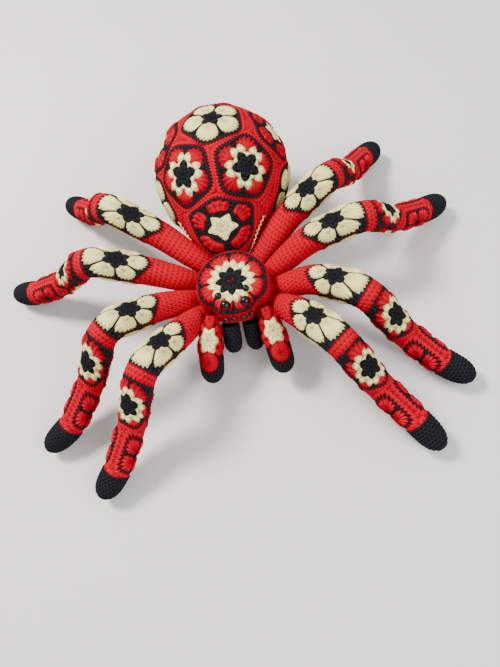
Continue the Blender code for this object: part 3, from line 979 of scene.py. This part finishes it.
def smoothCurve(knots, count):
    # Cubic curves through the knots, sampled evenly by their length.
    knots = np.array(knots, float)
    padded = np.concatenate([2 * knots[:1] - knots[1:2], knots, 2 * knots[-1:] - knots[-2:-1]])
    share = np.linspace(0, 1, 24, endpoint=False)[:, None]
    parts = []
    for a, b, c, d in zip(padded, padded[1:], padded[2:], padded[3:]):
        parts.append(0.5 * (2 * b + (c - a) * share + (2 * a - 5 * b + 4 * c - d) * share ** 2
                            + (3 * b - a - 3 * c + d) * share ** 3))
    curve = np.concatenate(parts + [knots[-1:]])
    weights = np.array([headOutline["halfWidth"], 1.0])
    lengths = runLengths(curve * weights)
    even = np.linspace(0, lengths[-1], count)
    return np.stack([np.interp(even, lengths, curve[:, axis]) for axis in range(2)], axis=-1)


def gridNormals(points):
    # Cross product of the two directions of a grid whose columns close up.
    down = np.gradient(points, axis=0)
    across = np.roll(points, -1, axis=1) - np.roll(points, 1, axis=1)
    normal = np.cross(across, down)
    normal[0] = (0.0, 0.0, 1.0)
    normal[-1] = (0.0, 0.0, -1.0)
    length = np.linalg.norm(normal, axis=-1, keepdims=True)
    return -normal / np.maximum(length, 1e-9) * np.sign(-normal[1:2, :1, 2:].mean())


def headPoints(angle):
    # The outline scaled down the profile, with the crown's rings centred on the
    # flower and the wall under the face set back.
    profile = smoothCurve(headSpec["profile"], headSpec["rings"])
    share, height = profile[:, :1], profile[:, 1:]
    radius = outlineRadius(angle) * share
    flowerX, flowerY = headSpec["flowerMiddle"]
    topward = np.where(height > headSpec["crownFrom"], 1 - share, 0)
    x = radius * np.cos(angle) + flowerX * topward
    y = headMiddleY + radius * np.sin(angle) + (flowerY - headMiddleY) * topward
    z = np.broadcast_to(height, x.shape)
    low, high = headSpec["setbackHeights"]
    ease = np.clip((z - low) / (high - low), 0, 1)
    setback = headSpec["setback"] * (1 - ease * ease * (3 - 2 * ease))
    y = np.maximum(y, headMiddleY - headOutline["halfLength"] + setback)
    return np.stack([x, y, z], axis=-1)


def headPattern(points, angle):
    # One flower over the crown, and plain red rows from its edge to the underside.
    run = surfaceRun(points)
    flowerX, flowerY = headSpec["flowerMiddle"]
    direction = np.arctan2(points[..., 1] - flowerY, points[..., 0] - flowerX)
    direction = np.where(points[..., 2] > headSpec["flowerFrom"], direction, angle)
    turn = np.pi / flowers["headFlower"]["petals"]
    plane = run * np.cos(direction - turn), run * np.sin(direction - turn)
    made = flowerFields(*plane, flowers["headFlower"], mark=headSpec["flowerMark"])
    stitches = angle / fullTurn * headSpec["stitchesRound"] + 0 * run
    rows = plainRows(stitches, (run - headSpec["rimRun"]) / common["rowHeight"], "red")
    return pickFields(made["outside"] > headSpec["rowsFrom"], rows, made)


def buildHead():
    angle = np.linspace(0, fullTurn, headSpec["columns"], endpoint=False)[None]
    points = headPoints(angle)
    raised, fields = workedFields(headPattern(points, angle))
    points = points + gridNormals(points) * (raised - common["sunk"])[..., None] + origin
    mesh = meshFromArrays("head_crochet", *closedTube(points, fields))
    addPiece("head_crochet", mesh, yarn, ["head"])


buildHead()
print("head made")


# Eyes

eyeSpec = {
    "skirt": -0.34,            # angle of the dome's rim, below its widest ring
    "stem": 0.5,               # radius at which the underside closes, in beads
    "rings": 26,
    "columns": 40,
    "poleGap": 0.03,
}


def beadSphere(node):
    # Least squares sphere through the bead's own points, and its dome's direction.
    points = np.array([vertex.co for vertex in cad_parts[node].data.vertices], float)
    system = np.concatenate([2 * points, np.ones((len(points), 1))], axis=1)
    solved = np.linalg.lstsq(system, (points ** 2).sum(axis=1), rcond=None)[0]
    centre = solved[:3]
    radius = np.sqrt(solved[3] + centre @ centre)
    return centre / metre, radius / metre, unit(points.mean(axis=0) - centre)


def buildEye(node):
    # A polished dome on a short stem: radius * cos and sin of the height angle.
    centre, radius, outward = beadSphere(node)
    sideways = unit(np.cross(outward, (0.3, 0.9, 0.1)))
    upward = np.cross(outward, sideways)
    skirt = eyeSpec["skirt"]
    dome = np.linspace(skirt, quarterTurn - eyeSpec["poleGap"], eyeSpec["rings"])
    lift = np.concatenate([[skirt, skirt], dome])
    spread = np.cos(lift)
    spread[0] = eyeSpec["stem"]
    around = np.linspace(0, fullTurn, eyeSpec["columns"], endpoint=False)
    ring = np.cos(around)[:, None] * sideways + np.sin(around)[:, None] * upward
    points = centre + radius * (spread[:, None, None] * ring + np.sin(lift)[:, None, None] * outward)
    allPoints, quads, triangles, _, _ = closedTube(points, {})
    mesh = meshFromArrays(f"{node}_bead", allPoints, quads[:, ::-1], triangles[:, ::-1], {})
    addPiece(f"{node}_bead", mesh, beadPlastic, [node])


for nodeName in sorted(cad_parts):
    if nodeName.startswith("eye"):
        buildEye(nodeName)
print("eyes made")


# Abdomen

even = (1.0, 1.0, 1.0)

abdomenSpec = {
    "centre": (0.3, 133.2, 67.0),
    "radius": 70.3,
    "neckReach": 26.6,         # how far it is drawn out towards the head
    "neckSpread": 26.5,        # over about this many degrees
    "neckTurn": -3.0,          # degrees from straight ahead, towards its left
    "neckDrop": 7.0,           # and downwards
    "faceSteps": 128,
    "sunk": 1.9,
    "seamDepth": 0.6,
    "seamWidth": 0.8,
    "footprint": 0.05,
    "fill": 0.95,
    "panels": {
        # flower, azimuth from the front and elevation of its middle, the way that
        # one point of its star lies (degrees from the level, anticlockwise), and
        # how far it is squeezed across, upwards and downwards
        "front": ("creamStar", -1.7, 15.0, -14.0, (0.97, 1.34, 1.36)),
        "middle_left": ("darkStar", 37.8, 46.4, 9.0, even),
        "middle_right": ("darkStar", -41.2, 47.4, 38.0, (1.03, 1.0, 1.0)),
        "top_back": ("creamPetals", 165.0, 80.0, -18.0, even),
        "upper_left": ("creamStar", 103.0, 29.0, 20.0, even),
        "upper_right": ("creamStar", -106.5, 36.0, 52.0, even),
        "lower_left": ("creamPetals", 67.7, -9.0, 54.0, even),
        "lower_right": ("creamPetals", -69.8, 1.8, -18.0, even),
        "rear": ("darkStar", 178.0, 28.0, 18.0, even),
        "rear_left": ("creamPetals", 136.0, -12.0, 54.0, even),
        "rear_right": ("creamPetals", -138.0, -10.0, 18.0, even),
        "rear_low": ("creamStar", 179.0, -46.0, 36.0, even),
        "low_left": ("darkStar", 100.0, -50.0, 18.0, even),
        "low_right": ("darkStar", -100.0, -46.0, 54.0, even),
        "under": ("creamStar", 0.0, -62.0, 54.0, even),
    },
}


def cubeSphere(steps):
    # Directions on six square faces, spread evenly by tan, with edges merged.
    line = np.tan(np.linspace(-1, 1, steps + 1) * np.pi / 4)
    u, v = np.meshgrid(line, line, indexing="ij")
    one = np.ones(u.shape)
    faces = [(one, u, v), (-one, v, u), (v, one, u), (u, -one, v), (u, v, one), (v, u, -one)]
    index = np.arange((steps + 1) ** 2).reshape(steps + 1, steps + 1)
    corners = [index[:-1, :-1], index[1:, :-1], index[1:, 1:], index[:-1, 1:]]
    quads = np.stack(corners, axis=-1).reshape(-1, 4)
    allQuads = np.concatenate([quads + number * index.size for number in range(6)])
    directions = unit(np.concatenate([np.stack(face, axis=-1).reshape(-1, 3) for face in faces]))
    _, keep, where = np.unique(np.round(directions, 6), axis=0, return_index=True, return_inverse=True)
    return directions[keep], where.ravel()[allQuads]


def compass(azimuth, elevation):
    # The direction that looks azimuth degrees from the front, elevation up.
    azimuth, elevation = np.radians(azimuth), np.radians(elevation)
    level = np.cos(elevation)
    return np.array([np.sin(azimuth) * level, -np.cos(azimuth) * level, np.sin(elevation)])


def abdomenFields(directions):
    # Each panel is laid flat from its middle: how far away by the angle, and which
    # way by the compass there.
    options = []
    for flowerName, azimuth, elevation, point, squeeze in abdomenSpec["panels"].values():
        flower = flowers[flowerName]
        across, upwards, downwards = squeeze
        middle = compass(azimuth, elevation)
        east = unit(np.cross((0.0, 0.0, 1.0), middle))
        north = np.cross(middle, east)
        away = np.arccos(np.clip(directions @ middle, -1, 1)) * abdomenSpec["radius"]
        angle = np.arctan2(directions @ north, directions @ east)
        level, upright = away * np.cos(angle) * across, away * np.sin(angle)
        upright = upright * np.where(upright > 0, upwards, downwards)
        away = np.hypot(level, upright)
        angle = np.arctan2(upright, level) - np.radians(point) + np.pi / flower["petals"]
        options.append(flowerFields(away * np.cos(angle), away * np.sin(angle), flower))
    made = chooseNearest(options)
    seam = np.exp(-(made["seam"] / abdomenSpec["seamWidth"]) ** 2)
    made["height"] = made["height"] - abdomenSpec["seamDepth"] * seam
    return made


def skinPoints(directions, raised):
    # A ball drawn out towards the head as a bell curve of the angle from its neck.
    neck = compass(abdomenSpec["neckTurn"], -abdomenSpec["neckDrop"])
    away = np.degrees(np.arccos(np.clip(directions @ neck, -1, 1))) / abdomenSpec["neckSpread"]
    radius = abdomenSpec["radius"] + abdomenSpec["neckReach"] * np.exp(-away ** 2)
    return np.array(abdomenSpec["centre"]) + directions * (radius + raised)[:, None]


def buildAbdomen():
    directions, quads = cubeSphere(abdomenSpec["faceSteps"])
    made = abdomenFields(directions)
    raised, fields = workedFields(made)
    points = skinPoints(directions, raised - abdomenSpec["sunk"]) + origin
    points[:, 2] = np.maximum(points[:, 2], abdomenSpec["footprint"])
    triangles = np.zeros((0, 3), int)
    mesh = meshFromArrays("abdomen_crochet", points, quads, triangles, fields)
    addPiece("abdomen_crochet", mesh, yarn, ["abdomen"])


buildAbdomen()
print("abdomen made")


# Seam threads: loose whip stitches in cream yarn along the abdomen's neck

threadSpec = {
    "radius": 0.45,
    "sides": 10,
    "step": 0.25,
    "pitch": 4.6,              # from one stitch to the next
    "reach": 0.9,              # half width of a stitch
    "lift": 0.9,               # how far the yarn's path stands above the skin
    "wave": 0.7,               # and how far each stitch rises and dips from there
    "tail": 7.0,
    "plyPitch": 2.5,
    "runs": {                  # azimuth and elevation of its ends and middle
        "left": ((30.0, 6.0), (20.5, 3.5), (12.5, -7.0)),
        "right": ((-40.0, 8.0), (-34.5, 2.0), (-26.0, -3.5)),
    },
}


def buildThread(sideName, places):
    # A coil laid along the seam, whose last bit runs on as a loose end.
    corners = skinPoints(np.array([compass(*place) for place in places]), threadSpec["lift"])
    share = np.linspace(0, 1, 41)[:, None]
    path = corners[0] * (1 - share) ** 2 + corners[1] * 2 * share * (1 - share) + corners[2] * share ** 2
    lengths = runLengths(path)
    distance = np.linspace(0, lengths[-1], int(lengths[-1] / threadSpec["step"]))
    middle = np.array(abdomenSpec["centre"])
    line = np.stack([np.interp(distance, lengths, path[:, axis]) for axis in range(3)], axis=-1)
    outward = unit(line - middle)
    line = skinPoints(outward, 0.0)
    sideways = unit(np.cross(np.gradient(line, axis=0), outward))
    coiled = np.clip((lengths[-1] - distance) / threadSpec["tail"], 0, 1)[:, None]
    phase = (fullTurn * distance / threadSpec["pitch"])[:, None]
    line = line + sideways * np.sin(phase) * threadSpec["reach"] * coiled
    line = line + outward * (threadSpec["lift"] + np.cos(phase) * coiled * threadSpec["wave"]) + origin
    heading = unit(np.gradient(line, axis=0))
    side = unit(np.cross(heading, outward))
    around = np.linspace(0, fullTurn, threadSpec["sides"], endpoint=False)[:, None]
    ring = side[:, None] * np.cos(around) + np.cross(side, heading)[:, None] * np.sin(around)
    points = line[:, None] + ring * threadSpec["radius"]
    blank = np.zeros(points.shape[:2])
    rows = plainRows(blank + 0.25, blank + distance[:, None] / threadSpec["plyPitch"], "cream")
    _, fields = workedFields(rows)
    name = f"seam_thread_{sideName}"
    addPiece(name, meshFromArrays(name, *closedTube(points, fields)), yarn, [])


for sideName, places in threadSpec["runs"].items():
    buildThread(sideName, places)
print("seam threads made")


# Floor, light and camera

cameraSpec = {
    "focal": 530.0,            # in pixels of a picture pictureHeight high
    "pictureHeight": 667,
    "sensor": 36,
    "pitch": 64.8,             # degrees below the level
    "roll": -20.06,
    "height": 497.0,           # above the floor
    "heading": 12.5,           # the toy's turn on the floor, as the camera sees it
    "standpoint": (0.5, 253.7),        # the toy's head from the spot under the camera
}


def buildCamera():
    # The photographer's place and tilt, worked out on the surface that the toy
    # stands on, then turned into the toy's own axes.
    heading = np.radians(cameraSpec["heading"])
    pitch, roll = np.radians(cameraSpec["pitch"]), np.radians(cameraSpec["roll"])
    axisX = np.array([np.cos(heading), -np.sin(heading), 0.0])
    axisY = np.array([np.sin(heading), np.cos(heading), 0.0])

    def toToy(vector):
        return np.array([vector @ axisX, vector @ axisY, vector[2]])

    right = np.array([1.0, 0.0, 0.0])
    forward = np.array([0.0, np.cos(pitch), -np.sin(pitch)])
    upward = np.array([0.0, np.sin(pitch), np.cos(pitch)])
    cameraRight = toToy(np.cos(roll) * right + np.sin(roll) * upward)
    cameraUp = toToy(-np.sin(roll) * right + np.cos(roll) * upward)
    beside, behind = cameraSpec["standpoint"]
    place = (toToy(np.array([-beside, -behind, cameraSpec["height"]])) + origin) * metre
    data = bpy.data.cameras.new("photo_camera")
    data.lens = cameraSpec["focal"] / cameraSpec["pictureHeight"] * cameraSpec["sensor"]
    data.sensor_width = cameraSpec["sensor"]
    camera = bpy.data.objects.new("photo_camera", data)
    bpy.context.scene.collection.objects.link(camera)
    turn = Matrix(np.stack([cameraRight, cameraUp, -toToy(forward)], axis=1).tolist())
    camera.matrix_world = Matrix.Translation(Vector(place)) @ turn.to_4x4()
    bpy.context.scene.camera = camera


studioSpec = {
    "floorSize": 12.0,
    "sky": 0.95,
    "lamps": {
        # place, size, watts and tint of each, in metres; all shine at the toy
        "key": ((-0.7, 0.5, 1.3), 0.4, 52.0, (1.0, 0.98, 0.94)),
        "fill": ((1.0, -0.8, 1.1), 1.0, 29.0, (0.96, 0.98, 1.0)),
    },
}


def buildFloor():
    bpy.ops.mesh.primitive_plane_add(size=studioSpec["floorSize"], location=(0, 0, 0))
    floor = bpy.context.active_object
    floor.name = "floor"
    floor.data.materials.append(floorMaterial("pale_floor", floorLook))


def addLamp(name, place, size, power, tint):
    data = bpy.data.lights.new(name, "AREA")
    data.size = size
    data.energy = power
    data.color = tint
    lamp = bpy.data.objects.new(name, data)
    lamp.location = place
    lamp.rotation_euler = (-Vector(place)).to_track_quat("-Z", "Y").to_euler()
    bpy.context.scene.collection.objects.link(lamp)


def buildLight():
    for name, lamp in studioSpec["lamps"].items():
        addLamp(name, *lamp)
    world = bpy.data.worlds.new("studio")
    world.use_nodes = True
    background = world.node_tree.nodes["Background"]
    background.inputs["Color"].default_value = (1.0, 1.0, 1.0, 1.0)
    background.inputs["Strength"].default_value = studioSpec["sky"]
    bpy.context.scene.world = world


buildCamera()
buildFloor()
buildLight()

print("scene ready")
